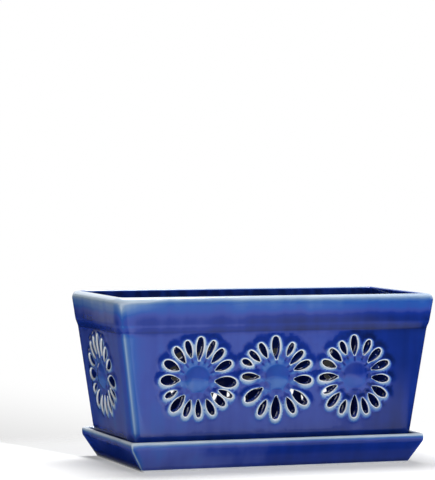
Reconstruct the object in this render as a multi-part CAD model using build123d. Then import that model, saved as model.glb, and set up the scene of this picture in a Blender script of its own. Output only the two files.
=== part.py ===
from build123d import *
import os
from math import asin, cos, degrees, sin

# Frame: +X along the pot, -Y is the front, +Z up from the table.
# The origin is the centre of the saucer's underside. All sizes are in millimetres.

# Pot: outer form
rim_length = 284.0
rim_depth = 132.5
pot_height = 135.0
band_height = 23.7
band_draft = 3.0
step_height = 5.3
step_inset = 1.7
length_draft = 15.0
depth_draft = 7.5
corner_round = 9.0
base_bevel_height = 14.0
base_bevel_inset = 7.0
base_round = 4.0
lip_outer_round = 5.4
lip_inner_round = 2.2

# Pot: inside, base and drainage
lip_thickness = 8.0
wall_thickness = 7.5
floor_thickness = 7.0
inner_corner_round = 5.0
inner_floor_round = 4.0
base_rim_width = 10.0
base_recess = 2.0
base_notch_width = 24.0
drain_diameter = 12.0
drain_pitch = 75.0
drain_count = 3

# Daisies: a domed button in a heart of raised petal pads, each pad pierced by an almond-shaped slot
daisy_height = 67.2
daisy_pitch = 70.0
petal_unit = 1.0
slot_tip_width = 1.2
widest_share = 0.57
end_round_share = 0.6
pad_margin = 2.6
pad_root = 11.0
pad_root_width = 5.0
pad_relief = 1.2
heart_radius = 15.0
button_radius = 11.0
button_rise = 2.6
embed = 1.0

# Petals cut by hand: clock angle, then in petal units the distance of the slot's tip, of its blunt end, and its width
left_daisy = [
    (4, 15.5, 35.0, 6.2), (24, 19.0, 34.5, 4.8), (42, 18.0, 33.0, 6.0), (65, 17.0, 32.5, 6.8),
    (96, 15.5, 34.5, 8.8), (116, 21.0, 34.5, 4.8), (132, 17.0, 33.0, 6.2), (153, 18.5, 33.0, 5.8),
    (176, 16.5, 31.5, 5.0), (198, 17.5, 32.0, 5.4), (220, 16.5, 33.5, 7.6), (243, 19.5, 30.5, 4.8),
    (270, 15.0, 31.5, 8.4), (298, 17.5, 32.5, 7.2), (323, 17.5, 33.5, 6.0), (343, 19.0, 33.5, 5.4),
]
middle_daisy = [
    (356, 15.0, 34.5, 7.0), (25, 19.5, 31.5, 4.6), (46, 15.5, 31.0, 5.6), (67, 16.0, 31.5, 6.4),
    (96, 15.0, 31.0, 7.2), (130, 16.0, 35.5, 7.4), (152, 19.0, 34.0, 5.6), (181, 15.0, 35.0, 8.0),
    (206, 20.5, 34.5, 5.6), (236, 15.0, 33.5, 8.4), (273, 15.5, 31.0, 5.8), (296, 24.5, 34.5, 4.8),
    (312, 20.5, 33.5, 4.8), (331, 19.0, 33.0, 5.4),
]
right_daisy = [
    (356, 17.0, 34.0, 6.2), (22, 18.5, 32.0, 5.4), (45, 15.5, 31.0, 6.6), (70, 15.0, 31.5, 6.6),
    (97, 15.0, 30.5, 6.4), (122, 18.0, 33.5, 6.6), (141, 19.5, 34.5, 6.2), (160, 20.0, 34.5, 5.2),
    (180, 16.5, 35.5, 6.8), (201, 22.0, 34.0, 5.0), (223, 19.5, 35.0, 6.4), (244, 18.0, 31.5, 5.0),
    (268, 15.5, 32.5, 6.6), (293, 19.0, 32.5, 5.6), (314, 17.5, 32.5, 6.0), (334, 20.0, 32.0, 5.0),
]

# Saucer
saucer_height = 25.0
saucer_lip_height = 6.0
saucer_end_flare = 11.6
saucer_side_flare = 7.7
saucer_wall = 3.6
saucer_floor = 7.0
saucer_corner_round = 2.0
saucer_rim_round = 1.7
saucer_foot_width = 9.0
saucer_recess = 2.0
end_clearance = 0.6
side_clearance = 10.0

# Levels and half sizes, as (along X, along Y), that follow from the sizes above
pot_foot = saucer_floor
rim_top = pot_foot + pot_height
band_bottom = rim_top - band_height
body_top = band_bottom - step_height
bevel_top = pot_foot + base_bevel_height
cavity_floor = pot_foot + floor_thickness
half_rim = (rim_length / 2, rim_depth / 2)


def drawn_in(half, inset):
    """Half sizes after drawing every side in by the same amount."""
    return (half[0] - inset, half[1] - inset)


half_band = drawn_in(half_rim, band_draft)
half_body = drawn_in(half_band, step_inset)
half_mouth = drawn_in(half_rim, lip_thickness)


def body_half(z):
    """Outer half sizes of the tapered body at a height."""
    down = (body_top - z) / (body_top - pot_foot)
    return (half_body[0] - length_draft * down, half_body[1] - depth_draft * down)


half_base = drawn_in(body_half(bevel_top), base_bevel_inset)


def slab(half, z, radius):
    """A rounded rectangle lying at a height."""
    return Pos(0, 0, z) * RectangleRounded(2 * half[0], 2 * half[1], radius)


def is_flat(face):
    return face.normal_at(0.1, 0.1).dot(face.normal_at(0.9, 0.9)) > 1 - 1e-9


def frustum(half_low, z_low, half_high, z_high, radius):
    """A tapered block between two rounded rectangles, with true planes for its flat sides."""
    block = loft([slab(half_low, z_low, radius), slab(half_high, z_high, radius)], ruled=True)
    faces = [Face(face.outer_wire()) if is_flat(face) else face for face in block.faces()]
    return Part() + Solid(Shell(faces))


def edges_at(shape, z):
    """The edges of a shape that lie flat at a height."""
    return shape.edges().filter_by_position(Axis.Z, z, z)


def almond(tip, end, tip_width, width):
    """An outline along +X, from a narrow round tip, swelling past its middle, to a blunt round end."""
    half = width / 2
    widest = tip + widest_share * (end - tip)
    outline = []
    for stop, radius, turn in ((end, end_round_share * half, 1), (tip, tip_width / 2, -1)):
        reach = abs(stop - widest) - radius
        side = (reach ** 2 + half ** 2 - radius ** 2) / (2 * (half - radius))
        lean = degrees(asin(reach / (side - radius)))
        outline += [
            CenterArc((widest, half - side), side, 90, -turn * lean),
            CenterArc((widest + turn * reach, 0), radius, 90 - turn * lean, -turn * (180 - 2 * lean)),
            CenterArc((widest, side - half), side, 270, turn * lean),
        ]
    return make_face(outline)


def by_clock(angle):
    """Turns +X to a clock angle: 0 is up, 90 is right."""
    return Rot(0, 0, 90 - angle)


def petal_sizes(petals):
    """Each petal's clock angle, then its slot's tip, round end and width in millimetres."""
    return [(angle, tip * petal_unit, end * petal_unit, width * petal_unit) for angle, tip, end, width in petals]


def daisy_slots(petals):
    """The slots of one daisy, as solids through a wall that lies in the XY plane, outside up."""
    top = pad_relief + embed
    bottom = -2 * wall_thickness
    slots = []
    for angle, tip, end, width in petal_sizes(petals):
        outline = by_clock(angle) * almond(tip, end, slot_tip_width, width)
        slots.append(Pos(0, 0, bottom) * extrude(outline, top - bottom))
    return slots


def daisy_pads(petals):
    """The raised heart and petal pads of one daisy, as one scalloped plate."""
    outline = Sketch() + Circle(heart_radius)
    for angle, tip, end, width in petal_sizes(petals):
        outline += by_clock(angle) * almond(pad_root, end + pad_margin, pad_root_width, width + 2 * pad_margin)
    return Pos(0, 0, -embed) * extrude(outline, embed + pad_relief)


def daisy_button():
    """The domed button that stands on a daisy's heart."""
    ball = (button_radius ** 2 + button_rise ** 2) / (2 * button_rise)
    half_turn = asin(button_radius / ball) / 2
    crown = pad_relief + button_rise
    shoulder = (ball * sin(half_turn), crown - ball * (1 - cos(half_turn)))
    profile = make_face([
        Line((0, -embed), (button_radius, -embed)),
        Line((button_radius, -embed), (button_radius, pad_relief)),
        ThreePointArc((button_radius, pad_relief), shoulder, (0, crown)),
        Line((0, crown), (0, -embed)),
    ])
    return revolve(Plane.XZ * profile, Axis.Z)


def wall_face(out_x, out_y):
    """The outer face of the wall that looks along (out_x, out_y), at the height of the daisies' centres."""
    z = pot_foot + daisy_height
    half = body_half(z)
    draft = length_draft if out_x else depth_draft
    slope = draft / (body_top - pot_foot)
    origin = (out_x * half[0], out_y * half[1], z)
    return Plane(origin, x_dir=(-out_y, out_x, 0), z_dir=(out_x, out_y, -slope))


def daisy_places():
    """Each daisy's place on the pot and its petals: three on each long side and one on each end."""
    row = [(-daisy_pitch, left_daisy), (0, middle_daisy), (daisy_pitch, right_daisy)]
    places = []
    for out_y in (-1, 1):
        places += [(wall_face(0, out_y).location * Pos(along, 0, 0), petals) for along, petals in row]
    for out_x in (-1, 1):
        places.append((wall_face(out_x, 0).location, left_daisy))
    return places


def pot_shell():
    """The plain pot: bevelled base, tapered body, step, rim band, rounded lip and cavity."""
    base = frustum(half_base, pot_foot, body_half(bevel_top), bevel_top, corner_round)
    base = fillet(edges_at(base, pot_foot), base_round)
    body = frustum(body_half(bevel_top), bevel_top, half_body, body_top, corner_round)
    step = frustum(half_body, body_top, half_band, band_bottom, corner_round)
    band = frustum(half_band, band_bottom, half_rim, rim_top, corner_round)
    band = fillet(edges_at(band, rim_top), lip_outer_round)
    half_floor = drawn_in(body_half(cavity_floor), wall_thickness)
    cavity = frustum(half_floor, cavity_floor, half_mouth, rim_top, inner_corner_round)
    cavity = fillet(edges_at(cavity, cavity_floor), inner_floor_round)
    shell = base + body + step + band - cavity
    within = drawn_in(half_mouth, -lip_inner_round / 2)
    mouth = edges_at(shell, rim_top).filter_by_position(Axis.X, -within[0], within[0])
    mouth = mouth.filter_by_position(Axis.Y, -within[1], within[1])
    return fillet(mouth, lip_inner_round)


def pot_base_cuts():
    """What is cut into the base: a shallow recess, a drip notch across it and a row of drain holes."""
    half_recess = drawn_in(half_base, base_round + base_rim_width)
    recess = extrude(slab(half_recess, pot_foot, inner_corner_round), base_recess)
    notch = Pos(0, 0, pot_foot) * Box(base_notch_width, rim_depth, 2 * base_recess)
    cuts = [recess, notch]
    for i in range(drain_count):
        along = (i - (drain_count - 1) / 2) * drain_pitch
        cuts.append(Pos(along, 0, pot_foot) * Cylinder(drain_diameter / 2, 4 * floor_thickness))
    return cuts


def make_pot():
    raised = []
    slots = []
    for place, petals in daisy_places():
        raised += [place * daisy_pads(petals), place * daisy_button()]
        slots += [place * slot for slot in daisy_slots(petals)]
    return pot_shell() + raised - slots - pot_base_cuts()


def make_saucer():
    """A flared tray with an upright lip, whose ends just clear the pot, with room for drips along the sides."""
    lip_bottom = saucer_height - saucer_lip_height
    beside_pot = body_half(saucer_height)
    half_inside = (beside_pot[0] + end_clearance, beside_pot[1] + side_clearance)
    half_outside = drawn_in(half_inside, -saucer_wall)

    def flared(half, z):
        down = (lip_bottom - z) / lip_bottom
        return (half[0] - saucer_end_flare * down, half[1] - saucer_side_flare * down)

    def tray_block(half, z):
        """The flared part up from a height, and the upright part to the rim."""
        flare = frustum(flared(half, z), z, half, lip_bottom, saucer_corner_round)
        return flare + extrude(slab(half, lip_bottom, saucer_corner_round), saucer_lip_height)

    tray = tray_block(half_outside, 0) - tray_block(half_inside, saucer_floor)
    tray = fillet(edges_at(tray, saucer_height), saucer_rim_round)
    half_recess = drawn_in(flared(half_outside, 0), saucer_foot_width)
    return tray - extrude(slab(half_recess, 0, saucer_corner_round), saucer_recess)


os.makedirs("parts", exist_ok=True)
export_step(make_pot(), "parts/pot.step")
export_step(make_saucer(), "parts/saucer.step")
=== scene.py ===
import math

import bmesh
import bpy
import numpy as np
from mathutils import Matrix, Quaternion, Vector
from mathutils.geometry import delaunay_2d_cdt


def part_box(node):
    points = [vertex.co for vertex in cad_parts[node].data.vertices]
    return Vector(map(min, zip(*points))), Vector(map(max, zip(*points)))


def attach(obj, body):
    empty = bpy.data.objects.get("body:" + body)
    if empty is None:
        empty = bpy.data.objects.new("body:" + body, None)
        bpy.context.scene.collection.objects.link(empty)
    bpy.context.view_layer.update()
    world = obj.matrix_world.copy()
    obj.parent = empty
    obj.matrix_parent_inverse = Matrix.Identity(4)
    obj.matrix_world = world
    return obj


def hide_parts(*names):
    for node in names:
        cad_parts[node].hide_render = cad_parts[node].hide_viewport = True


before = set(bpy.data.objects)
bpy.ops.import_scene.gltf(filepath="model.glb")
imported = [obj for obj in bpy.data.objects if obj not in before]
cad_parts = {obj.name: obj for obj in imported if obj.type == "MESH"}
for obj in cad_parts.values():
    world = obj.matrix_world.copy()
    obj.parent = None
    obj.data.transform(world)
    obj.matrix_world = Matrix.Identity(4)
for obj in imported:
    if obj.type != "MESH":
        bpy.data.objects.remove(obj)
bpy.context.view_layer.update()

# Sizes in metres. +X runs along the pot, -Y is the front, +Z is up from the table.
MM = 0.001
TINY = 1e-6

# Pot: outer form
foot_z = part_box("pot")[0].z
rim_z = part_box("pot")[1].z
rim_half = (0.142, 0.06625)
band_height = 0.0237
band_draft = 0.003
step_height = 0.0053
step_inset = 0.0017
length_draft = 0.015
depth_draft = 0.0075
corner_round = 0.009
base_bevel_height = 0.014
base_bevel_inset = 0.007
base_round = 0.004
bevel_edge_round = 0.003
lip_outer_round = 0.0054
lip_inner_round = 0.0018
band_edge_round = 0.0016
step_foot_round = 0.0012

# Pot: inside, base and drainage
lip_thickness = 0.008
wall_thickness = 0.0075
floor_thickness = 0.007
inner_corner_round = 0.005
inner_floor_round = 0.004
base_rim_width = 0.010
base_recess = 0.002
base_notch_width = 0.024
drain_radius = 0.006
drain_places = (-0.075, 0.0, 0.075)
drain_edge_round = 0.0008
drain_sides = 40

# Saucer
saucer_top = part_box("saucer")[1].z
saucer_lip_height = 0.006
saucer_end_flare = 0.0116
saucer_side_flare = 0.0077
saucer_wall = 0.0036
saucer_floor = 0.007
saucer_corner_round = 0.002
saucer_rim_round = 0.0017
saucer_foot_width = 0.009
saucer_foot_round = 0.0006
saucer_bare_height = 0.0014
saucer_bare_fade = 0.0005
saucer_recess = 0.002
end_clearance = 0.0006
side_clearance = 0.010

# Spacing of the points along the long edges of a piece, the share of a side from which an edge is long,
# and the width of the border round a flat floor
edge_spacing = 0.004
long_share = 0.7
floor_border = 0.0012

# Levels and half sizes, as (along X, along Y), that follow from the sizes above
band_z = rim_z - band_height
body_top_z = band_z - step_height
bevel_top_z = foot_z + base_bevel_height
cavity_z = foot_z + floor_thickness
saucer_lip_z = saucer_top - saucer_lip_height


def drawn_in(half, inset):
    """Half sizes after drawing every side in by the same amount."""
    return (half[0] - inset, half[1] - inset)


band_half = drawn_in(rim_half, band_draft)
body_top_half = drawn_in(band_half, step_inset)
mouth_half = drawn_in(rim_half, lip_thickness)


def body_half(z):
    """Outer half sizes of the tapered body at a height."""
    down = (body_top_z - z) / (body_top_z - foot_z)
    return (body_top_half[0] - length_draft * down, body_top_half[1] - depth_draft * down)


base_half = drawn_in(body_half(bevel_top_z), base_bevel_inset)
floor_half = drawn_in(body_half(cavity_z), wall_thickness)


def cavity_half(z):
    """Half sizes of the pot's inside at a height."""
    up = (z - cavity_z) / (rim_z - cavity_z)
    return tuple(low + (high - low) * up for low, high in zip(floor_half, mouth_half))


# Modelling by hand, with operators

def select(piece, kind, rule):
    """Selects the edges or faces of a piece in edit mode whose points satisfy a rule."""
    bpy.ops.mesh.select_mode(type=kind)
    bpy.ops.mesh.select_all(action="DESELECT")
    mesh = bmesh.from_edit_mesh(piece.data)
    for part in mesh.edges if kind == "EDGE" else mesh.faces:
        part.select_set(bool(rule([v.co for v in part.verts])))
    bmesh.update_edit_mesh(piece.data)


def level(z):
    """The rule for what lies flat at a height."""
    return lambda points: all(abs(p.z - z) < TINY for p in points)


def upright(points):
    """The rule for edges that aren't level."""
    return abs(points[0].z - points[1].z) > TINY


def spread(points, axis):
    """How far points reach along an axis."""
    values = [p[axis] for p in points]
    return max(values) - min(values)


def resize_top(half_from, half_to, z):
    """Gives the selected top face new half sizes."""
    factors = (half_to[0] / half_from[0], half_to[1] / half_from[1], 1)
    bpy.ops.transform.resize(value=factors, center_override=(0, 0, z))


def add_block(name, half_low, z_low, half_high, z_high):
    """A tapered block in edit mode, with its top face selected."""
    if bpy.context.mode != "OBJECT":
        bpy.ops.object.mode_set(mode="OBJECT")
    bpy.ops.object.select_all(action="DESELECT")
    bpy.ops.mesh.primitive_cube_add(size=2, location=(0, 0, (z_low + z_high) / 2))
    block = bpy.context.object
    block.name = name
    block.scale = (half_low[0], half_low[1], (z_high - z_low) / 2)
    bpy.ops.object.transform_apply(location=True, rotation=True, scale=True)
    bpy.ops.object.mode_set(mode="EDIT")
    select(block, "FACE", level(z_high))
    resize_top(half_low, half_high, z_high)
    return block


def extend_top(half_from, half_to, z_from, z_to):
    """Pulls the selected top face up and gives it new half sizes."""
    bpy.ops.mesh.extrude_region_move(TRANSFORM_OT_translate={"value": (0, 0, z_to - z_from)})
    resize_top(half_from, half_to, z_to)


def flare_top(half_low, z_low, radius, steps, beyond):
    """Pulls the top face up over a quarter round that opens outwards, and then straight on."""
    half, z = half_low, z_low
    for i in range(1, steps + 1):
        turn = math.radians(90) * i / steps
        next_z = z_low + radius * math.sin(turn)
        next_half = drawn_in(half_low, -radius * (1 - math.cos(turn)))
        extend_top(half, next_half, z, next_z)
        half, z = next_half, next_z
    extend_top(half, half, z, z + beyond)


def round_edges(piece, rule, radius, segments):
    """Rounds the edges that satisfy a rule."""
    select(piece, "EDGE", rule)
    bpy.ops.mesh.bevel(
        offset_type="OFFSET", offset=radius, segments=segments, affect="EDGES", clamp_overlap=False)


def split_edges(piece, rule, cuts):
    """Cuts the edges that satisfy a rule into short ones."""
    select(piece, "EDGE", rule)
    bpy.ops.mesh.subdivide(number_cuts=cuts)


def split_long_edges(piece, half):
    """Cuts the long level edges of a piece of given half sizes into short ones."""
    for axis in (0, 1):
        length = 2 * half[axis]
        cuts = int(length / edge_spacing)
        split_edges(piece, lambda points: spread(points, axis) > long_share * length, cuts)


def frame_flat(piece, z):
    """Fills a flat floor anew inside a narrow border, so that rounds at its edges don't bend its shading."""
    select(piece, "FACE", level(z))
    bpy.ops.mesh.delete(type="FACE")
    select(piece, "EDGE", level(z))
    bpy.ops.mesh.fill(use_beauty=True)
    select(piece, "FACE", level(z))
    bpy.ops.mesh.inset(thickness=floor_border, depth=0)


def cut_away(piece, cutter):
    """Takes a cutter's shape out of a piece, and leaves the piece in edit mode."""
    cut = piece.modifiers.new("cut", "BOOLEAN")
    cut.operation = "DIFFERENCE"
    cut.solver = "EXACT"
    cut.object = cutter
    bpy.context.view_layer.objects.active = piece
    bpy.ops.object.modifier_apply(modifier=cut.name)
    bpy.data.objects.remove(cutter)
    bpy.ops.object.mode_set(mode="EDIT")


def plain_cutter(name, half, z_low, z_high):
    """A straight block to cut with, out of edit mode."""
    cutter = add_block(name, half, z_low, half, z_high)
    bpy.ops.object.mode_set(mode="OBJECT")
    return cutter


def mesh_points(piece):
    return np.array([v.co[:] for v in piece.data.vertices])


def set_glaze(mesh, thickness):
    """Gives every point of a mesh the thickness of its glaze."""
    mesh.attributes.new("glaze", "FLOAT", "POINT").data.foreach_set("value", thickness)


def finish_mesh(piece):
    """Closes the seams, turns the faces outwards and shades the curves smooth."""
    bpy.ops.object.select_all(action="DESELECT")
    piece.select_set(True)
    bpy.context.view_layer.objects.active = piece
    bpy.ops.object.mode_set(mode="EDIT")
    bpy.ops.mesh.select_all(action="SELECT")
    bpy.ops.mesh.remove_doubles(threshold=0.01 * MM)
    bpy.ops.mesh.normals_make_consistent(inside=False)
    bpy.ops.object.mode_set(mode="OBJECT")
    bpy.ops.object.shade_smooth_by_angle(angle=math.radians(42))


# Pot shell: everything but the flat walls, which are pierced panels

def make_cavity_cutter():
    """The pot's inside, with a flared top that leaves a rounded inner lip."""
    flare_z = rim_z - lip_inner_round
    cutter = add_block("cavity", floor_half, cavity_z, cavity_half(flare_z), flare_z)
    flare_top(cavity_half(flare_z), flare_z, lip_inner_round, 4, lip_thickness)
    round_edges(cutter, upright, inner_corner_round, 6)
    round_edges(cutter, level(cavity_z), inner_floor_round, 4)
    bpy.ops.object.mode_set(mode="OBJECT")
    return cutter


def make_drain_cutter(along):
    """A rod that cuts one drain through the floor."""
    bpy.ops.object.mode_set(mode="OBJECT")
    bpy.ops.object.select_all(action="DESELECT")
    bpy.ops.mesh.primitive_cylinder_add(
        vertices=drain_sides, radius=drain_radius, depth=4 * floor_thickness, location=(along, 0, foot_z))
    cutter = bpy.context.object
    bpy.ops.object.transform_apply(location=True, rotation=True, scale=True)
    return cutter


def is_drain_edge(points):
    """The rule for the edges of the drains in the pot's floor."""
    away = [min(math.hypot(p.x - along, p.y) for along in drain_places) for p in points]
    return level(cavity_z)(points) and max(away) < drain_radius + 0.5 * floor_border


def is_wall(points):
    """The rule for the eight flat faces, inside and out, that become pierced panels."""
    low = min(p.z for p in points)
    high = max(p.z for p in points)
    wide = max(spread(points, 0), spread(points, 1))
    return low < bevel_top_z + base_round and high > body_top_z - corner_round and wide > 4 * corner_round


def make_pot_shell():
    shell = add_block("pot_glazed", base_half, foot_z, body_half(bevel_top_z), bevel_top_z)
    extend_top(body_half(bevel_top_z), body_top_half, bevel_top_z, body_top_z)
    extend_top(body_top_half, band_half, body_top_z, band_z)
    extend_top(band_half, rim_half, band_z, rim_z)
    round_edges(shell, upright, corner_round, 8)
    lip_angle = math.atan2(band_height, band_draft)
    round_edges(shell, level(rim_z), lip_outer_round / math.tan(lip_angle / 2), 8)
    round_edges(shell, level(band_z), band_edge_round, 3)
    round_edges(shell, level(body_top_z), step_foot_round, 3)
    round_edges(shell, level(bevel_top_z), bevel_edge_round, 3)
    round_edges(shell, level(foot_z), base_round, 4)
    cut_away(shell, make_cavity_cutter())
    recess_half = drawn_in(base_half, base_round + base_rim_width)
    cut_away(shell, plain_cutter("recess", recess_half, foot_z - base_recess, foot_z + base_recess))
    notch_half = (base_notch_width / 2, rim_half[1])
    cut_away(shell, plain_cutter("notch", notch_half, foot_z - base_recess, foot_z + base_recess))
    for along in drain_places:
        cut_away(shell, make_drain_cutter(along))
    frame_flat(shell, cavity_z)
    round_edges(shell, is_drain_edge, drain_edge_round, 2)
    select(shell, "FACE", is_wall)
    bpy.ops.mesh.delete(type="FACE")
    split_long_edges(shell, mouth_half)
    split_edges(shell, lambda points: spread(points, 2) > 0.5 * (body_top_z - foot_z), 24)
    split_edges(shell, lambda points: spread(points, 2) > 0.6 * band_height, 6)
    bpy.ops.object.mode_set(mode="OBJECT")
    return shell


# Pierced wall panels: raised daisies, each petal cut by an almond-shaped slot. Sizes in millimetres.
daisy_height = 67.2
daisy_pitch = 70.0
slot_tip_width = 1.2
widest_share = 0.61
end_round_share = 0.72
slot_edge_round = 0.8
slot_inner_round = 0.6
pad_relief = 1.2
pad_flat = 1.2
pad_reach = 6.8
heart_flat = 13.0
heart_reach = 18.0
button_radius = 11.0
button_rise = 2.6
crease_depth = 0.15
crease_width = 1.2
notch_depth = 0.3
notch_width = 1.4
notch_length = 4.0
notch_button_gap = 1.0
notch_fade = (-2.0, 6.0)
border_fade = 3.5

# Spacing of the points that carry the relief, and the room left between them
slot_spacing = 1.1
ring_offsets = (0.0, 0.12, 0.35, 0.65, 1.0, 1.6, 2.4, 3.4, 4.6, 6.0)
full_rings = 6
notch_rows = (-notch_width, -0.9, -0.35, 0.35, 0.9, notch_width)
notch_spacing = 0.9
button_rings = (0.0, 1.8, 3.6, 5.4, 7.2, 8.8, 10.0, 10.7, 11.2, 11.8)
button_spacing = 1.8
button_margin = 1.4
border_margin = 0.6
slot_margin = 0.05
grid_margin = 0.8
inner_slot_margin = 2.0
least_spacing = 0.09
least_area = 0.002
fine_grid = 2.3
fine_reach = 11.0
coarse_grid = 3.2
inner_grid = 7.0
grid_row_share = 0.87

# Petals cut by hand: clock angle, distance of the slot's tip, distance of its blunt end, width of the slot
left_daisy = [
    (4, 15.5, 35.0, 6.2), (24, 19.0, 34.5, 4.8), (42, 18.0, 33.0, 6.0), (65, 17.0, 32.5, 6.8),
    (96, 15.5, 34.5, 8.8), (116, 21.0, 34.5, 4.8), (132, 17.0, 33.0, 6.2), (153, 18.5, 33.0, 5.8),
    (176, 16.5, 31.5, 5.0), (198, 17.5, 32.0, 5.4), (220, 16.5, 33.5, 7.6), (243, 19.5, 30.5, 4.8),
    (270, 15.0, 31.5, 8.4), (298, 17.5, 32.5, 7.2), (323, 17.5, 33.5, 6.0), (343, 19.0, 33.5, 5.4),
]
middle_daisy = [
    (356, 15.0, 34.5, 7.0), (25, 19.5, 31.5, 4.6), (46, 15.5, 31.0, 5.6), (67, 16.0, 31.5, 6.4),
    (96, 15.0, 31.0, 7.2), (130, 16.0, 35.5, 7.4), (152, 19.0, 34.0, 5.6), (181, 15.0, 35.0, 8.0),
    (206, 20.5, 34.5, 5.6), (236, 15.0, 33.5, 8.4), (273, 15.5, 31.0, 5.8), (296, 24.5, 34.5, 4.8),
    (312, 20.5, 33.5, 4.8), (331, 19.0, 33.0, 5.4),
]
right_daisy = [
    (356, 17.0, 34.0, 6.2), (22, 18.5, 32.0, 5.4), (45, 15.5, 31.0, 6.6), (70, 15.0, 31.5, 6.6),
    (97, 15.0, 30.5, 6.4), (122, 18.0, 33.5, 6.6), (141, 19.5, 34.5, 6.2), (160, 20.0, 34.5, 5.2),
    (180, 16.5, 35.5, 6.8), (201, 22.0, 34.0, 5.0), (223, 19.5, 35.0, 6.4), (244, 18.0, 31.5, 5.0),
    (268, 15.5, 32.5, 6.6), (293, 19.0, 32.5, 5.6), (314, 17.5, 32.5, 6.0), (334, 20.0, 32.0, 5.0),
]

# Thickness of the glaze, from 0 on bare clay to 1 in a dark pool, and how much it gains or loses in places.
# Some gains are painted shade, and some losses are painted highlights and reflections.
wall_glaze = 0.54
# Painted shade: the inside of the pot is made as dark as the glaze goes
inside_shade_glaze = 1.0
foot_glaze = 0.05
least_glaze = 0.11
# Darker above the petals: pooled glaze and painted shade
scallop_pool_and_shade = 0.19
# Darker in the notches of the upper half
notch_darkening = 0.25
button_thinning = 0.06
# Painted reflection: the lower half of each button is made paler
button_low_reflection = 0.12
heart_thinning = 0.13
ridge_thinning = 0.13
halo_glaze = 0.16
halo_gain = 0.09
# Painted shade: the body grows darker towards the right
right_painted_shade = 0.45
# Darker at the base: pooled glaze and painted shade from the saucer
base_pool_and_shade = 0.7
# Darker just under the step: pooled glaze and painted shade
step_pool_and_shade = 0.4
# Darker low on the band: pooled glaze and painted shade
band_low_glaze = 0.66
# Painted shade: the band grows darker towards the right
band_right_shade = 0.18
band_middle_glaze = 0.43
band_lip_thinning = 0.29
# Painted highlight high on the band's left end
band_left_highlight = 0.14
# Darker on the step: pooled glaze and painted shade
band_step_pool_and_shade = 0.15
band_edge_thinning = 0.12
# Pale strips on the left corners: thin glaze and a painted highlight
body_strip_thinning_and_highlight = 0.37
band_strip_thinning_and_highlight = 0.2
inner_lip_thinning = 0.6
saucer_wall_glaze = 0.55
# Painted shade: the saucer grows darker towards the right
saucer_right_shade = 0.16
# Painted shade on the saucer's ends
saucer_end_shade = 0.1
saucer_foot_pool = 0.28
# Pale rim: thin glaze and a painted sheen
saucer_rim_thin_and_sheen = 0.09
# Pale mitred corners: thin glaze, stronger on the left as a painted highlight
saucer_mitre_glaze = 0.06
right_mitre_share = 0.4

# The pale strip where glaze has run off a left corner, with a painted highlight: degrees round the corner,
# and widths in millimetres
strip_angle = 56
strip_line_width = 1.7
strip_glow_width = 7


def smooth(low, high, value):
    """Rises smoothly from 0 to 1 between two values."""
    t = np.clip((value - low) / (high - low), 0, 1)
    return t * t * (3 - 2 * t)


def swell(value, width):
    """One at zero, falling off smoothly on both sides."""
    return np.exp(-(value / width) ** 2)


class Wall:
    """One flat wall of the pot. Its own axes are along, up and out of its outer face, in millimetres."""

    def __init__(self, out_x, out_y, daisies):
        z = foot_z + daisy_height * MM
        half = body_half(z)
        self.side = 0 if out_x else 1
        slope = (depth_draft if self.side else length_draft) / (body_top_z - foot_z)
        self.daisies = daisies
        self.out = np.array((out_x, out_y, 0.0))
        self.origin = np.array((out_x * half[0], out_y * half[1], z))
        self.along = np.array((-out_y, out_x, 0.0))
        self.normal = np.array((out_x, out_y, -slope)) / math.hypot(1, slope)
        self.up = np.cross(self.normal, self.along)

    def place(self, u, v, w):
        away = np.outer(u, self.along) + np.outer(v, self.up) + np.outer(w, self.normal)
        return self.origin + MM * away

    def own(self, points):
        """A point's place along, up and out of the wall."""
        away = (np.asarray(points) - self.origin) / MM
        return away @ self.along, away @ self.up, away @ self.normal

    def inner_depth(self, u, v):
        """How far out of the outer face the inner face lies, so below zero."""
        outer = self.place(u, v, np.zeros(len(u)))
        slope = (mouth_half[self.side] - floor_half[self.side]) / (rim_z - cavity_z)
        gap = outer @ self.out - cavity_half(outer[:, 2])[self.side]
        return -gap / MM / (self.normal @ self.out - slope * self.normal[2])

    def slot_gaps(self, u, v):
        """Distance of points from the slots of each daisy."""
        return np.array([nearest_slot(u - place, v, petals) for place, petals in self.daisies])


def slot_form(petal):
    """A slot's direction, where it is widest, half its width, and the arcs of its end half and its tip half.

    The arcs of a half are the place of its round stop's centre, the stop's radius and the sides' radius.
    """
    angle, tip, end, width = petal
    turn = math.radians(angle)
    half = width / 2
    widest = tip + widest_share * (end - tip)
    arcs = []
    for stop, radius in ((end, end_round_share * half), (tip, slot_tip_width / 2)):
        reach = abs(stop - widest) - radius
        arcs.append((reach, radius, (reach ** 2 + half ** 2 - radius ** 2) / (2 * (half - radius))))
    return (math.sin(turn), math.cos(turn)), widest, half, arcs


def slot_distance(u, v, petal):
    """Distance of points from the edge of a slot, negative inside it."""
    (dir_u, dir_v), widest, half, arcs = slot_form(petal)
    along = u * dir_u + v * dir_v - widest
    across = np.abs(u * dir_v - v * dir_u)
    found = []
    for turn, (reach, radius, side) in zip((1, -1), arcs):
        ahead = turn * along
        below = across + side - half
        by_side = np.hypot(ahead, below) - side
        by_stop = np.hypot(ahead - reach, across) - radius
        found.append(np.where(ahead * (side - half) <= reach * below, by_side, by_stop))
    return np.where(along > 0, found[0], found[1])


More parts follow.
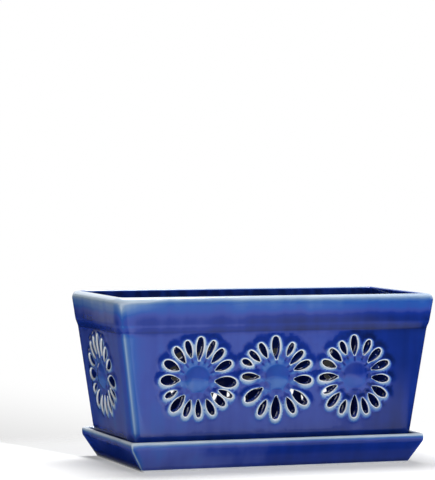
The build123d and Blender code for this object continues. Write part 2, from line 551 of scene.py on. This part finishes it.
def slot_ring(petal, offset):
    """Points round a slot, at a distance outside its edge: as many at every distance."""
    (dir_u, dir_v), widest, half, arcs = slot_form(petal)
    quarters = []
    for turn, (reach, radius, side) in zip((1, -1), arcs):
        lean = math.asin(reach / (side - radius))
        round_count = math.ceil((math.pi / 2 - lean) * radius / slot_spacing) + 2
        side_count = math.ceil(lean * side / slot_spacing)
        quarter = []
        for i in range(round_count):
            bend = (math.pi / 2 - lean) * i / round_count
            arc = radius + offset
            quarter.append((turn * (reach + arc * math.cos(bend)), arc * math.sin(bend)))
        for i in range(side_count):
            bend = lean * (1 - i / side_count)
            arc = side + offset
            quarter.append((turn * arc * math.sin(bend), arc * math.cos(bend) - side + half))
        quarters.append(quarter)
    upper = quarters[0] + [(0, half + offset)] + quarters[1][::-1]
    lower = [(along, -across) for along, across in upper[-2:0:-1]]
    along, across = np.array(upper + lower).T
    along = along + widest
    return along * dir_u + across * dir_v, along * dir_v - across * dir_u


def notch_distance(u, v, petal):
    """Distance of points from the short line that runs from a slot's tip towards the button."""
    (dir_u, dir_v) = slot_form(petal)[0]
    along = u * dir_u + v * dir_v
    across = u * dir_v - v * dir_u
    tip = petal[1]
    line_start = max(button_radius + notch_button_gap, tip - notch_length)
    beyond = along - np.clip(along, line_start, tip + slot_tip_width / 2)
    return np.hypot(across, beyond)


def nearest_slot(u, v, petals):
    return np.min([slot_distance(u, v, petal) for petal in petals], axis=0)


def nearest_notch(u, v, petals):
    return np.min([notch_distance(u, v, petal) for petal in petals], axis=0)


def daisy_relief(u, v, petals):
    """How far a daisy stands out of the wall."""
    gap = nearest_slot(u, v, petals)
    radius = np.hypot(u, v)
    pads = 1 - smooth(pad_flat, pad_reach, gap)
    heart = 1 - smooth(heart_flat, heart_reach, radius)
    height = pad_relief * (1 - (1 - pads) * (1 - heart))
    inward = np.clip(slot_edge_round - gap, 0, slot_edge_round)
    height -= slot_edge_round - np.sqrt(slot_edge_round ** 2 - inward ** 2)
    notch = 1 - smooth(0, notch_width, nearest_notch(u, v, petals))
    height -= notch_depth * notch * smooth(0, slot_edge_round, gap) * smooth(*notch_fade, v)
    height -= crease_depth * swell(radius - button_radius, crease_width)
    ball = (button_radius ** 2 + button_rise ** 2) / (2 * button_rise)
    cap = np.sqrt(ball ** 2 - np.minimum(radius, button_radius) ** 2) - (ball - button_rise)
    return height + cap


def daisy_glaze(u, v, petals):
    """Thickness of the glaze on a daisy: none on a slot's edge, pale round it and more so below it as a
    painted highlight, most above the petals as pooled glaze and painted shade, and paler on the button's
    lower half as a painted reflection.
    """
    gap = nearest_slot(u, v, petals)
    notch = nearest_notch(u, v, petals)
    radius = np.hypot(u, v)
    step = 0.05
    downward = -(nearest_slot(u, v + step, petals) - gap) / step
    outward = smooth(15, 25, radius)
    # Darker above the petals: pooled glaze and painted shade
    glaze = wall_glaze + scallop_pool_and_shade * (1 - smooth(5.2, 7.0, gap)) * np.clip(0.5 - downward, 0, 1)
    button = 1 - smooth(0.85, 1.1, radius / button_radius)
    # Painted reflection on the lower half of the button
    glaze -= button * (button_thinning + button_low_reflection * smooth(3, -3, v))
    heart = (1 - button) * (1 - smooth(14, 18, radius))
    ridge = swell(radius - 15, 2.5) * smooth(0.8, 1.8, notch)
    glaze -= heart_thinning * heart + ridge_thinning * ridge
    in_notch = 1 - smooth(0.2, 1.2, notch)
    # Darker in the notches of the upper half
    glaze += notch_darkening * in_notch * smooth(0.3, 1.2, gap) * smooth(*notch_fade, v)
    # The pale ring is thin glaze round the slots, made wider below them as a painted highlight
    halo = 1.0 + (1.6 + 1.2 * downward) * outward
    pale = (1 - smooth(halo - 0.6, halo + 0.6, gap)) * (0.5 + 0.5 * outward)
    glaze = glaze * (1 - pale) + (halo_glaze + halo_gain * smooth(1.0, 4.0, gap)) * pale
    rim = 0.3 + 0.6 * outward
    bare = 1 - smooth(0.5 * rim, rim, gap)
    return glaze * (1 - bare)


def glaze_gain_and_shade(points):
    """How much thicker the glaze is made on the pot's body: towards the right as painted shade, at the base
    as pooled glaze and painted shade from the saucer, and under the step as pooled glaze and painted shade.
    """
    x, z = points[:, 0], points[:, 2]
    # Painted shade towards the right
    right = right_painted_shade * smooth(30 * MM, 110 * MM, x)
    # Pooled glaze and painted shade from the saucer at the base
    base = base_pool_and_shade * smooth(32 * MM, 24 * MM, z)
    # Pooled glaze and painted shade under the step
    return 1 + np.maximum(right, base) + step_pool_and_shade * swell(z - body_top_z, 1.2 * MM)


def corner_strip(points, half_x, half_y):
    """Where glaze has run thin off the upright left corners, with a painted highlight there: a bright line
    that fades on to the long walls.
    """
    x, y = np.abs(points[:, 0]), np.abs(points[:, 1])
    turn_x = x - half_x + corner_round
    turn_y = y - half_y + corner_round
    turn = np.arctan2(np.maximum(turn_y, 0), np.maximum(turn_x, 0)) - math.radians(strip_angle)
    past_line = corner_round * turn + np.maximum(-turn_x, 0)
    line = swell(past_line, strip_line_width * MM)
    glow = np.where(past_line > 0, swell(past_line, strip_glow_width * MM), line)
    return np.where((turn_y > 0) & (points[:, 0] < 0), 0.5 * line + 0.5 * glow, 0)


def shell_glaze(points):
    """Thickness of the shell's glaze: thin on lips, and thin with painted highlights on the left corners and
    the band's left; thick low on the band as pooled glaze and painted shade, and thick inside as painted
    shade.
    """
    x, y, z = np.abs(points[:, 0]), np.abs(points[:, 1]), points[:, 2]
    on_band = z > body_top_z + TINY
    across = (z - band_z) / band_height
    # Low on the band: pooled glaze and painted shade, more towards the right as painted shade
    low_band = band_low_glaze + band_right_shade * smooth(-80 * MM, 20 * MM, points[:, 0])
    band = low_band + (band_middle_glaze - low_band) * smooth(0.1, 0.6, across)
    band -= band_lip_thinning * smooth(0.7, 0.95, across)
    # Pooled glaze and painted shade on the step; thin glaze on the band's lower edge
    band += band_step_pool_and_shade * swell(z - body_top_z, 1.2 * MM) - band_edge_thinning * swell(z - band_z, MM)
    glaze = np.where(on_band, band, wall_glaze * glaze_gain_and_shade(points))
    half_x, half_y = body_half(z)
    half_x = np.where(on_band, band_half[0] + band_draft * across, half_x)
    half_y = np.where(on_band, band_half[1] + band_draft * across, half_y)
    # Painted highlight high on the band's left
    band_left = smooth(-95 * MM, -120 * MM, points[:, 0]) * smooth(0.35, 0.75, across)
    glaze -= np.where(on_band, band_left_highlight * band_left, 0)
    strip = corner_strip(points, half_x, half_y)
    # Painted highlight with thin glaze on the left corners
    glaze -= strip * np.where(on_band, band_strip_thinning_and_highlight, body_strip_thinning_and_highlight)
    mouth_x, mouth_y = cavity_half(z)
    inside = (x < mouth_x + 0.4 * MM) & (y < mouth_y + 0.4 * MM) & (z > cavity_z - 2 * MM)
    # Painted shade inside the pot, lighter towards the lip
    glaze = np.where(inside, inside_shade_glaze - inner_lip_thinning * smooth(rim_z - 3 * MM, rim_z, z), glaze)
    on_foot = z < foot_z + 0.6 * MM
    glaze = np.where(on_foot, foot_glaze, glaze)
    return np.clip(glaze, np.where(on_foot, 0, least_glaze), 1)


def grid_points(outline, step):
    """Points of a staggered grid over an outline's box."""
    (u_low, v_low), (u_high, v_high) = np.min(outline, axis=0), np.max(outline, axis=0)
    columns = np.arange(u_low + step / 2, u_high, step)
    rows = np.arange(v_low + step / 2, v_high, step * grid_row_share)
    u, v = np.meshgrid(columns, rows)
    u = u + (np.arange(len(rows)) % 2)[:, None] * step / 2
    return u.ravel(), v.ravel()


def border_gap(u, v, outline):
    """Distance of points from a convex outline given in turning order, negative outside it."""
    gap = np.full(len(u), np.inf)
    for (au, av), (bu, bv) in zip(outline, outline[1:] + outline[:1]):
        length = math.hypot(bu - au, bv - av)
        gap = np.minimum(gap, ((bu - au) * (v - av) - (bv - av) * (u - au)) / length)
    return gap


def fill_panel(outline, rings, extra):
    """Triangles over an outline and extra points, with a hole for each ring."""
    points = [Vector(p) for p in outline]
    edges = [(i, (i + 1) % len(outline)) for i in range(len(outline))]
    owner = [-1] * len(outline)
    for k, (ring_u, ring_v) in enumerate(rings):
        start = len(points)
        count = len(ring_u)
        points += [Vector(p) for p in zip(ring_u, ring_v)]
        edges += [(start + i, start + (i + 1) % count) for i in range(count)]
        owner += [k] * count
    points += [Vector(p) for p in zip(*extra)]
    owner += [-1] * len(extra[0])
    _, _, faces, sources, _, _ = delaunay_2d_cdt(points, edges, [], 1, 1e-4, True)
    source = [ids[0] for ids in sources]
    kept = []
    for face in faces:
        ids = [source[i] for i in face]
        owners = {owner[i] for i in ids}
        a, b, c = [points[i] for i in ids]
        is_hole = len(owners) == 1 and owners != {-1}
        if not is_hole and abs((b - a).cross(c - a)) > least_area:
            kept.append(ids)
    return points, kept


def petal_extras(petal, others):
    """Points round one slot of a daisy and along its notch, clear of the daisy's other petals."""
    found = []
    for i, offset in enumerate(ring_offsets[1:]):
        u, v = slot_ring(petal, offset)
        clear = nearest_slot(u, v, others) > offset + 0.25 * (offset - ring_offsets[i])
        clear &= np.hypot(u, v) > button_radius + button_margin
        clear &= (notch_distance(u, v, petal) > notch_width + 0.4) | (offset < 0.2)
        clear[1::2] &= i + 1 < full_rings
        found.append((u[clear], v[clear]))
    (dir_u, dir_v) = slot_form(petal)[0]
    tip = petal[1]
    line_start = max(button_radius + button_margin, tip - notch_length - 1)
    along = np.arange(line_start, tip - 0.4, notch_spacing)
    for across in notch_rows:
        u = along * dir_u + across * dir_v
        v = along * dir_v - across * dir_u
        clear = nearest_notch(u, v, others) > notch_width + 0.3
        found.append((u[clear], v[clear]))
    return found


def outer_extras(outline, wall):
    """Points that carry the relief of a wall's outer face: round slots and buttons, on notches and grids."""
    found = []
    for place, petals in wall.daisies:
        for petal in petals:
            others = [other for other in petals if other is not petal]
            found += [(u + place, v) for u, v in petal_extras(petal, others)]
        for radius in button_rings:
            count = max(1, math.ceil(2 * math.pi * radius / button_spacing))
            turn = np.arange(count) * 2 * math.pi / count
            found.append((radius * np.sin(turn) + place, radius * np.cos(turn)))
    for step in (fine_grid, coarse_grid):
        u, v = grid_points(outline, step)
        clear = border_gap(u, v, outline) > 0.5 * step
        gap = np.min(wall.slot_gaps(u, v), axis=0)
        notch = np.min([nearest_notch(u - place, v, petals) for place, petals in wall.daisies], axis=0)
        radius = np.min([np.hypot(u - place, v) for place, petals in wall.daisies], axis=0)
        clear &= (gap > ring_offsets[-1] + grid_margin) & (notch > notch_width + grid_margin)
        clear &= radius > button_radius + 2
        near = gap < fine_reach
        clear &= near if step == fine_grid else ~near & (gap > fine_reach + coarse_grid / 2)
        found.append((u[clear], v[clear]))
    u = np.concatenate([u for u, v in found])
    v = np.concatenate([v for u, v in found])
    clear = border_gap(u, v, outline) > border_margin
    clear &= np.min(wall.slot_gaps(u, v), axis=0) > slot_margin
    return u[clear], v[clear]


def thin_out(u, v, spacing):
    """Leaves out points that crowd an earlier one."""
    kept = {}
    chosen = []
    cells = zip((u / spacing).astype(int).tolist(), (v / spacing).astype(int).tolist())
    for i, cell in enumerate(cells):
        around = [kept.get((cell[0] + a, cell[1] + b)) for a in (-1, 0, 1) for b in (-1, 0, 1)]
        if all(j is None or math.hypot(u[i] - u[j], v[i] - v[j]) > spacing for j in around):
            kept[cell] = i
            chosen.append(i)
    return u[chosen], v[chosen]


def open_loop(piece, wall, outer):
    """The points of a shell's opening in a wall, inside or out, in turning order."""
    mesh = bmesh.new()
    mesh.from_mesh(piece.data)
    points = np.array([v.co[:] for v in mesh.verts if v.is_boundary])
    mesh.free()
    u, v, w = wall.own(points)
    level_w = np.zeros(len(u)) if outer else wall.inner_depth(u, v)
    on_face = np.abs(w - level_w) < 0.02
    u, v = u[on_face], v[on_face]
    order = np.argsort(np.arctan2(v - v.mean(), u - u.mean()))
    return list(zip(u[order].tolist(), v[order].tolist()))


def placed_ring(place, petal, offset):
    """A ring round a slot of the daisy at a place along the wall."""
    return tuple(np.add(slot_ring(petal, offset), ((place,), (0,))))


def make_panel(shell, wall):
    """A pierced wall: outer face, inner face and the walls of its slots, with the glaze's thickness."""
    slots = [(place, petal) for place, petals in wall.daisies for petal in petals]

    outer = open_loop(shell, wall, True)
    rings = [placed_ring(place, petal, 0) for place, petal in slots]
    extra = thin_out(*outer_extras(outer, wall), least_spacing)
    points, faces = fill_panel(outer, rings, extra)
    u, v = np.array(points).T
    nearest = np.argmin(wall.slot_gaps(u, v), axis=0)
    relief = np.zeros(len(u))
    thickness = np.zeros(len(u))
    for k, (place, petals) in enumerate(wall.daisies):
        mine = nearest == k
        relief[mine] = daisy_relief(u[mine] - place, v[mine], petals)
        thickness[mine] = daisy_glaze(u[mine] - place, v[mine], petals)
    relief *= smooth(0, border_fade, border_gap(u, v, outer))
    front = wall.place(u, v, relief)
    # Painted highlight with thin glaze on the left corner strip
    strip = corner_strip(front, *body_half(front[:, 2]))
    spots = [front]
    # Painted shade and pooled glaze on the body, as on the shell
    glaze = [thickness * glaze_gain_and_shade(front) - body_strip_thinning_and_highlight * strip]
    rim_starts = np.cumsum([len(outer)] + [len(ring[0]) for ring in rings])
    base = len(u)

    inner = open_loop(shell, wall, False)
    inner_rings = [placed_ring(place, petal, slot_inner_round) for place, petal in slots]
    u, v = grid_points(inner, inner_grid)
    clear = border_gap(u, v, inner) > 0.5 * inner_grid
    clear &= np.min(wall.slot_gaps(u, v), axis=0) > inner_slot_margin
    points, triangles = fill_panel(inner, inner_rings, (u[clear], v[clear]))
    u, v = np.array(points).T
    spots.append(wall.place(u, v, wall.inner_depth(u, v)))
    # Painted shade on the inner faces of the wall
    glaze.append(np.full(len(u), inside_shade_glaze))
    faces += [[base + i for i in reversed(face)] for face in triangles]
    inner_starts = base + np.cumsum([len(inner)] + [len(ring[0]) for ring in inner_rings])
    total = base + len(u)

    for k, (place, petal) in enumerate(slots):
        count = len(rings[k][0])
        top = relief[rim_starts[k]:rim_starts[k] + count]
        bottom = wall.inner_depth(*rings[k])
        turn_in = 0.3 * slot_inner_round
        # Each level of the slot's wall: distance outside the slot, depth and thickness of the glaze; below
        # the bare rim the wall darkens with depth as painted shade
        levels = [(0, top - 0.3, 0.12), (0, top - 0.7, 0.7), (0, bottom + slot_inner_round, 0.95)]
        levels.append((turn_in, bottom + turn_in, 0.9))
        rows = [rim_starts[k] + np.arange(count)]
        for offset, depth, value in levels:
            spots.append(wall.place(*placed_ring(place, petal, offset), depth))
            glaze.append(np.full(count, value))
            rows.append(total + np.arange(count))
            total += count
        rows.append(inner_starts[k] + np.arange(count))
        for upper, lower in zip(rows, rows[1:]):
            for i in range(count):
                j = (i + 1) % count
                faces.append([upper[i], upper[j], lower[j], lower[i]])

    mesh = bpy.data.meshes.new("panel")
    mesh.from_pydata(np.concatenate(spots).tolist(), [], [[int(i) for i in face] for face in faces])
    set_glaze(mesh, np.concatenate(glaze))
    panel = bpy.data.objects.new("panel", mesh)
    bpy.context.scene.collection.objects.link(panel)
    return panel


def make_pot():
    pot = make_pot_shell()
    front_row = [(-daisy_pitch, left_daisy), (0.0, middle_daisy), (daisy_pitch, right_daisy)]
    end_row = [(0.0, left_daisy)]
    walls = [Wall(0, -1, front_row), Wall(0, 1, front_row), Wall(-1, 0, end_row), Wall(1, 0, end_row)]
    panels = [make_panel(pot, wall) for wall in walls]
    set_glaze(pot.data, shell_glaze(mesh_points(pot)))
    bpy.ops.object.select_all(action="DESELECT")
    for piece in [pot] + panels:
        piece.select_set(True)
    bpy.context.view_layer.objects.active = pot
    bpy.ops.object.join()
    finish_mesh(pot)
    return pot


# Saucer

def saucer_inner(z):
    """Half sizes inside the saucer at a height: a flare up to the upright lip."""
    down = max(0, saucer_lip_z - z) / saucer_lip_z
    half = body_half(saucer_top)
    along = half[0] + end_clearance - saucer_end_flare * down
    across = half[1] + side_clearance - saucer_side_flare * down
    return (along, across)


def saucer_outer(z):
    return drawn_in(saucer_inner(z), -saucer_wall)


def make_tray_cutter():
    """The saucer's inside, with a flared top that leaves a rounded rim."""
    turn_z = saucer_top - saucer_rim_round
    inside = saucer_inner(saucer_top)
    cutter = add_block("tray", saucer_inner(saucer_floor), saucer_floor, inside, saucer_lip_z)
    extend_top(inside, inside, saucer_lip_z, turn_z)
    flare_top(inside, turn_z, saucer_rim_round, 5, saucer_wall)
    round_edges(cutter, upright, saucer_corner_round, 4)
    round_edges(cutter, level(saucer_floor), saucer_corner_round, 4)
    bpy.ops.object.mode_set(mode="OBJECT")
    return cutter


def saucer_glaze(points):
    """Thickness of the glaze on the saucer: none at the foot, thin on the rim with a painted sheen, thin on
    the mitred corners with a painted highlight more on the left, and thicker on the right and on the ends as
    painted shade.
    """
    x, y, z = np.abs(points[:, 0]), np.abs(points[:, 1]), points[:, 2]
    down = np.maximum(0, saucer_lip_z - z) / saucer_lip_z
    top_half = saucer_outer(saucer_top)
    from_end = top_half[0] - saucer_end_flare * down - x
    from_side = top_half[1] - saucer_side_flare * down - y
    # Painted shade towards the right
    glaze = saucer_wall_glaze + saucer_right_shade * smooth(-70 * MM, 20 * MM, points[:, 0])
    # Painted shade on the ends
    glaze += np.where(from_end < from_side, saucer_end_shade, 0)
    glaze += saucer_foot_pool * smooth(4.5 * MM, 1.5 * MM, z)
    # Pale rim: thin glaze and a painted sheen
    rim = smooth(saucer_top - 5.5 * MM, saucer_top - 0.8 * MM, z)
    glaze = glaze * (1 - rim) + saucer_rim_thin_and_sheen * rim
    # Pale mitred corners: thin glaze, stronger on the left as a painted highlight
    mitre = swell(np.maximum(from_end, from_side), 1.6 * MM)
    mitre *= np.where(points[:, 0] < 0, 1, right_mitre_share)
    glaze = glaze * (1 - mitre) + saucer_mitre_glaze * mitre
    glaze *= smooth(saucer_bare_height, saucer_bare_height + saucer_bare_fade, z)
    return np.clip(glaze, 0, 1)


def make_saucer():
    outside = saucer_outer(saucer_top)
    saucer = add_block("saucer_glazed", saucer_outer(0), 0, outside, saucer_lip_z)
    extend_top(outside, outside, saucer_lip_z, saucer_top)
    round_edges(saucer, upright, saucer_corner_round, 4)
    round_edges(saucer, level(saucer_top), saucer_rim_round, 5)
    round_edges(saucer, level(saucer_lip_z), saucer_rim_round, 3)
    round_edges(saucer, level(0), saucer_foot_round, 2)
    cut_away(saucer, make_tray_cutter())
    recess_half = drawn_in(saucer_outer(0), saucer_foot_width)
    cut_away(saucer, plain_cutter("recess", recess_half, -saucer_recess, saucer_recess))
    frame_flat(saucer, saucer_floor)
    split_long_edges(saucer, saucer_outer(0))
    split_edges(saucer, lambda points: spread(points, 2) > 0.4 * saucer_top, 7)
    for z in (saucer_bare_height, saucer_bare_height + saucer_bare_fade):
        bpy.ops.mesh.select_all(action="SELECT")
        bpy.ops.mesh.bisect(plane_co=(0, 0, z), plane_no=(0, 0, 1))
    bpy.ops.object.mode_set(mode="OBJECT")
    set_glaze(saucer.data, saucer_glaze(mesh_points(saucer)))
    finish_mesh(saucer)
    return saucer


# Materials

class Wire:
    """A socket in a node tree. Arithmetic on it adds Math nodes, and node() adds any other."""

    def __init__(self, tree, socket=None):
        self.tree = tree
        self.socket = socket

    def node(self, kind, settings=(), inputs=(), output=0):
        made = self.tree.nodes.new(kind)
        for name, value in dict(settings).items():
            if name == "stops":
                stops = made.color_ramp.elements
                while len(stops) < len(value):
                    stops.new(1)
                for stop, (position, colour) in zip(stops, value):
                    stop.position = position
                    stop.color = (*colour, 1)
            else:
                setattr(made, name, value)
        for name, value in dict(inputs).items():
            if isinstance(value, Wire):
                self.tree.links.new(value.socket, made.inputs[name])
            else:
                made.inputs[name].default_value = value
        return Wire(self.tree, made.outputs[output] if made.outputs else None)

    def math(self, operation, first, second):
        return self.node("ShaderNodeMath", {"operation": operation}, {0: first, 1: second})

    def __add__(self, other):
        return self.math("ADD", self, other)

    def __radd__(self, other):
        return self.math("ADD", other, self)

    def __sub__(self, other):
        return self.math("SUBTRACT", self, other)

    def __rsub__(self, other):
        return self.math("SUBTRACT", other, self)

    def __mul__(self, other):
        return self.math("MULTIPLY", self, other)

    def __rmul__(self, other):
        return self.math("MULTIPLY", other, self)


# Colour of the glaze by its thickness
glaze_colours = [
    (0.00, (0.92, 0.93, 0.95)),
    (0.10, (0.54, 0.64, 0.75)),
    (0.20, (0.21, 0.33, 0.53)),
    (0.30, (0.075, 0.18, 0.46)),
    (0.42, (0.022, 0.095, 0.41)),
    (0.52, (0.034, 0.070, 0.36)),
    (0.58, (0.030, 0.058, 0.32)),
    (0.66, (0.008, 0.032, 0.27)),
    (0.82, (0.006, 0.024, 0.19)),
    (1.00, (0.004, 0.014, 0.10)),
]
cloud_share = 0.40
runs_share = 0.38


def make_glaze():
    """Glossy cobalt glaze, coloured by the thickness that each piece carries and by soft clouds and runs."""
    material = bpy.data.materials.new("blue_glaze")
    material.use_nodes = True
    material.node_tree.nodes.clear()
    start = Wire(material.node_tree)
    place = start.node("ShaderNodeTexCoord", output="Object")
    thickness = start.node("ShaderNodeAttribute", {"attribute_name": "glaze"}, output="Fac")
    cloud = start.node("ShaderNodeTexNoise", {}, {"Vector": place, "Scale": 26.0, "Detail": 3.0})
    runs_place = start.node("ShaderNodeMapping", {}, {"Vector": place, "Scale": (90.0, 90.0, 9.0)})
    runs = start.node("ShaderNodeTexNoise", {}, {"Vector": runs_place, "Scale": 1.0, "Detail": 2.0})
    varied = thickness + thickness * (cloud_share * (cloud - 0.5) + runs_share * (runs - 0.5))
    colour = start.node("ShaderNodeValToRGB", {"stops": glaze_colours}, {"Fac": varied})
    ripple = start.node("ShaderNodeTexNoise", {}, {"Vector": place, "Scale": 60.0, "Detail": 2.0})
    bump = start.node("ShaderNodeBump", {}, {"Height": ripple, "Strength": 0.05, "Distance": 0.0015})
    shader = start.node("ShaderNodeBsdfPrincipled", {}, {
        "Base Color": colour, "Roughness": 0.09, "IOR": 1.52, "Normal": bump})
    start.node("ShaderNodeOutputMaterial", {}, {"Surface": shader})
    return material


# Table, flags, room, lamps and camera
WHITE = (1, 1, 1, 1)
BLACK = (0, 0, 0, 1)
UP = (0.0, 0.0, 1.0)
RIGHT = (1.0, 0.0, 0.0)
LEFT = (-1.0, 0.0, 0.0)
FRONT = (0.0, -1.0, 0.0)
BACK = (0.0, 1.0, 0.0)
table_colour = (0.9, 0.9, 0.9, 1)
table_glow = 0.35
table_shadow = 0.2
table_size = 6
flag_size = 12
flag_distance = 1.2
room_light = 0.07
room_shadow = 0.21
pot_shade = 0.97


def add_sheet(name, size, place, turn=(0.0, 0.0, 0.0)):
    """A square sheet of the studio, with an empty material."""
    bpy.ops.object.select_all(action="DESELECT")
    bpy.ops.mesh.primitive_plane_add(size=size, location=place, rotation=turn)
    sheet = bpy.context.object
    sheet.name = name
    material = bpy.data.materials.new(name)
    material.use_nodes = True
    material.node_tree.nodes.clear()
    sheet.data.materials.append(material)
    return sheet, Wire(material.node_tree)


def shown_rays(start):
    """One for the rays that show the background: straight to the camera, mirrored or through glass."""
    path = "ShaderNodeLightPath"
    shown = start.node(path, output="Is Camera Ray") + start.node(path, output="Is Glossy Ray")
    return shown + start.node(path, output="Is Transmission Ray")


def distance_along(place, direction):
    """How far a place, or a line of sight, goes in a direction."""
    return place.node("ShaderNodeVectorMath", {"operation": "DOT_PRODUCT"}, {0: place, 1: direction}, "Value")


def ramp(value, low, high, first, last):
    """Goes smoothly from a first value to a last one."""
    return value.node("ShaderNodeMapRange", {"interpolation_type": "SMOOTHSTEP"}, {
        "Value": value, "From Min": low, "From Max": high, "To Min": first, "To Max": last})


def fade(start, direction, low, high):
    """One on a sheet up to a distance in a direction, fading to zero at a second distance."""
    place = start.node("ShaderNodeTexCoord", output="Object")
    return ramp(distance_along(place, direction), low, high, 1.0, 0.0)


def make_table():
    """A white table that ends behind the pot, with a painted grey shadow there on the left."""
    start = add_sheet("white_table", table_size, (0, 0, 0))[1]
    # Painted shadow on the table to the left of the pot
    grey = table_shadow * (1 - fade(start, (0.965, 0.262, 0.0), -0.115, -0.107))
    grey = grey * fade(start, RIGHT, -0.1, -0.06) * (1 - fade(start, BACK, 0.0, 0.05))
    colour = start.node("ShaderNodeMix", {"data_type": "RGBA"}, {0: grey, 6: table_colour, 7: BLACK}, 2)
    lit = start.node("ShaderNodeBsdfDiffuse", {}, {"Color": colour})
    white = start.node("ShaderNodeEmission", {}, {"Color": WHITE, "Strength": 1 - grey})
    top = start.node("ShaderNodeMixShader", {}, {0: table_glow * shown_rays(start), 1: lit, 2: white})
    clear = start.node("ShaderNodeBsdfTransparent")
    surface = start.node("ShaderNodeMixShader", {}, {0: fade(start, BACK, 0.14, 0.24), 1: clear, 2: top})
    start.node("ShaderNodeOutputMaterial", {}, {"Surface": surface})


def make_flags():
    """Black cards that only the glaze mirrors: one lies round the pot with gaps for the table, two stand."""
    low_flag, start = add_sheet("low_flag", table_size, (0, 0, 0.3 * MM))
    near = fade(start, FRONT, 0.072, 0.078) * fade(start, RIGHT, 0.125, 0.145)
    near = near * fade(start, BACK, 0.065, 0.09) * (0.4 + 0.6 * fade(start, RIGHT, -0.07, -0.02))
    far = 0.6 * (1 - fade(start, FRONT, 0.092, 0.1)) * fade(start, (1.0, 0.06, 0.0), 0.17, 0.26)
    front_left = (1 - fade(start, FRONT, 0.05, 0.06)) * fade(start, RIGHT, -0.07, -0.05)
    gap = start.math("MAXIMUM", start.math("MAXIMUM", near, far), front_left)
    gap = gap * fade(start, LEFT, 0.114, 0.122)
    beyond = fade(start, (3.16, 1.0, 0.0), -0.37, -0.33) * fade(start, RIGHT, -0.15, -0.135)
    gap = gap + beyond * (0.32 - 0.18 * fade(start, BACK, 0.72, 0.78))
    black = start.node("ShaderNodeBsdfDiffuse", {}, {"Color": BLACK})
    clear = start.node("ShaderNodeBsdfTransparent")
    surface = start.node("ShaderNodeMixShader", {}, {0: gap, 1: black, 2: clear})
    start.node("ShaderNodeOutputMaterial", {}, {"Surface": surface})
    flags = [low_flag]
    middle_z = flag_size / 2
    for name, place, turn in (("front_flag", (0, -flag_distance, middle_z), (math.radians(90), 0, 0)),
                              ("left_flag", (-flag_distance, 0, middle_z), (0, math.radians(90), 0))):
        flag, start = add_sheet(name, flag_size, place, turn)
        black = start.node("ShaderNodeBsdfDiffuse", {}, {"Color": BLACK})
        start.node("ShaderNodeOutputMaterial", {}, {"Surface": black})
        flags.append(flag)
    for flag in flags:
        flag.visible_camera = False
        flag.visible_diffuse = False
        flag.visible_transmission = False
        flag.visible_shadow = False


def make_room(forward):
    """A white room that lights little itself, with a painted grey shadow behind the table on the left, and
    shaded behind the pot.

    The shade makes upper slots that line up look dark. From the camera the pot hides it, at rest and lifted.
    """
    world = bpy.data.worlds.new("room")
    bpy.context.scene.world = world
    world.use_nodes = True
    world.node_tree.nodes.clear()
    start = Wire(world.node_tree)
    towards = start.node("ShaderNodeTexCoord", output="Generated")
    aside = distance_along(towards, forward.cross(UP).normalized())
    rise = distance_along(towards, UP)
    table_line = rise + 0.175 * aside
    # Painted grey shadow behind the table on the left
    grey = ramp(table_line, -0.098, -0.126, 0.0, room_shadow) * ramp(table_line, -0.1235, -0.1255, 1.0, 0.0)
    grey = grey * ramp(aside, 0.0, -0.03, 0.0, 1.0)
    off_side = (aside - 0.011) * (1 / 0.055)
    off_level = (rise + 0.083) * (1 / 0.027)
    shade = ramp(off_side * off_side + off_level * off_level, 0.75, 1.0, pot_shade, 0.0)
    shade = shade * ramp(rise, -0.0878, -0.0858, 0.0, 1.0)
    strength = (room_light + (1 - room_light) * shown_rays(start)) * (1 - grey) * (1 - shade)
    light = start.node("ShaderNodeBackground", {}, {"Color": WHITE, "Strength": strength})
    start.node("ShaderNodeOutputWorld", {}, {"Surface": light})


def add_softbox(name, place, target, size, power, shows=True):
    """A rectangular lamp turned to a target. The glaze mirrors it if it shows."""
    data = bpy.data.lights.new(name, "AREA")
    data.shape = "RECTANGLE"
    data.size, data.size_y = size
    data.energy = power
    lamp = bpy.data.objects.new(name, data)
    lamp.location = place
    lamp.rotation_euler = (Vector(target) - Vector(place)).to_track_quat("-Z", "Y").to_euler()
    lamp.visible_glossy = shows
    bpy.context.scene.collection.objects.link(lamp)


def make_camera():
    """The camera of the photograph. Returns the direction in which it looks."""
    yaw = math.radians(20.0618)
    pitch = math.radians(1.8185)
    roll = math.radians(0.2836)
    forward = Vector((math.sin(yaw) * math.cos(pitch), math.cos(yaw) * math.cos(pitch), -math.sin(pitch)))
    data = bpy.data.cameras.new("camera")
    data.sensor_width = 36
    data.lens = 195.8997
    camera = bpy.data.objects.new("camera", data)
    camera.location = (-0.78442, -2.06241, 0.25572)
    camera.rotation_mode = "QUATERNION"
    camera.rotation_quaternion = Quaternion(-forward, roll) @ forward.to_track_quat("-Z", "Y")
    bpy.context.scene.collection.objects.link(camera)
    bpy.context.scene.camera = camera
    return forward


glaze = make_glaze()
for piece, node in ((make_pot(), "pot"), (make_saucer(), "saucer")):
    piece.data.materials.clear()
    piece.data.materials.append(glaze)
    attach(piece, node)
    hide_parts(node)

make_table()
make_flags()
make_room(make_camera())
pot_middle = (0, 0, 0.07)
add_softbox("key_softbox", (0.9, -1.7, 0.75), pot_middle, (1.8, 1.2), 23, False)
add_softbox("overhead_softbox", (0.1, 0.5, 1.9), pot_middle, (1.0, 0.7), 50)
add_softbox("left_fill", (-1.8, -0.4, 0.7), pot_middle, (1.4, 1.2), 4, False)
bpy.context.scene.view_settings.view_transform = "Standard"
